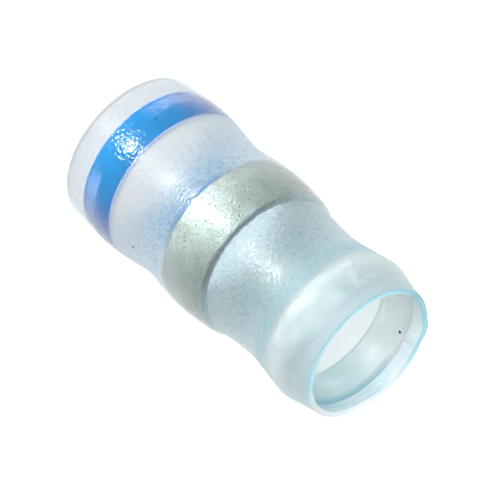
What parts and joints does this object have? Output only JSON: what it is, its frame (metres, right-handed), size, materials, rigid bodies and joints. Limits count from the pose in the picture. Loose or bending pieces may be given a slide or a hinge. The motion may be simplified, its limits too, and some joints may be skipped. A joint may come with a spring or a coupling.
{
  "type": "solder seal wire connector",
  "caption": "Clear heat-shrink sleeve with a solder ring at its middle and a meltable sealing ring near each open end, for splicing wires.",
  "frame": {"origin": "centre of the wide end's cut face, the end nearer the blue ring", "axes": "+Z along the sleeve's axis, from the blue ring's end to the pale ring's end; X and Y are alike, because the part is turned"},
  "size_m": [0.008, 0.008, 0.0165],
  "materials": {
    "sleeve_film": "clear, faintly blue, finely rippled",
    "blue_adhesive": "waxy gloss",
    "solder": "dull silver, finely pitted",
    "pale_adhesive": "milky, waxy"
  },
  "bodies": {
    "root": {"shrink_sleeve": "sleeve_film", "blue_sealing_ring": "blue_adhesive", "solder_ring": "solder", "pale_sealing_ring": "pale_adhesive"}
  },
  "joints": []
}
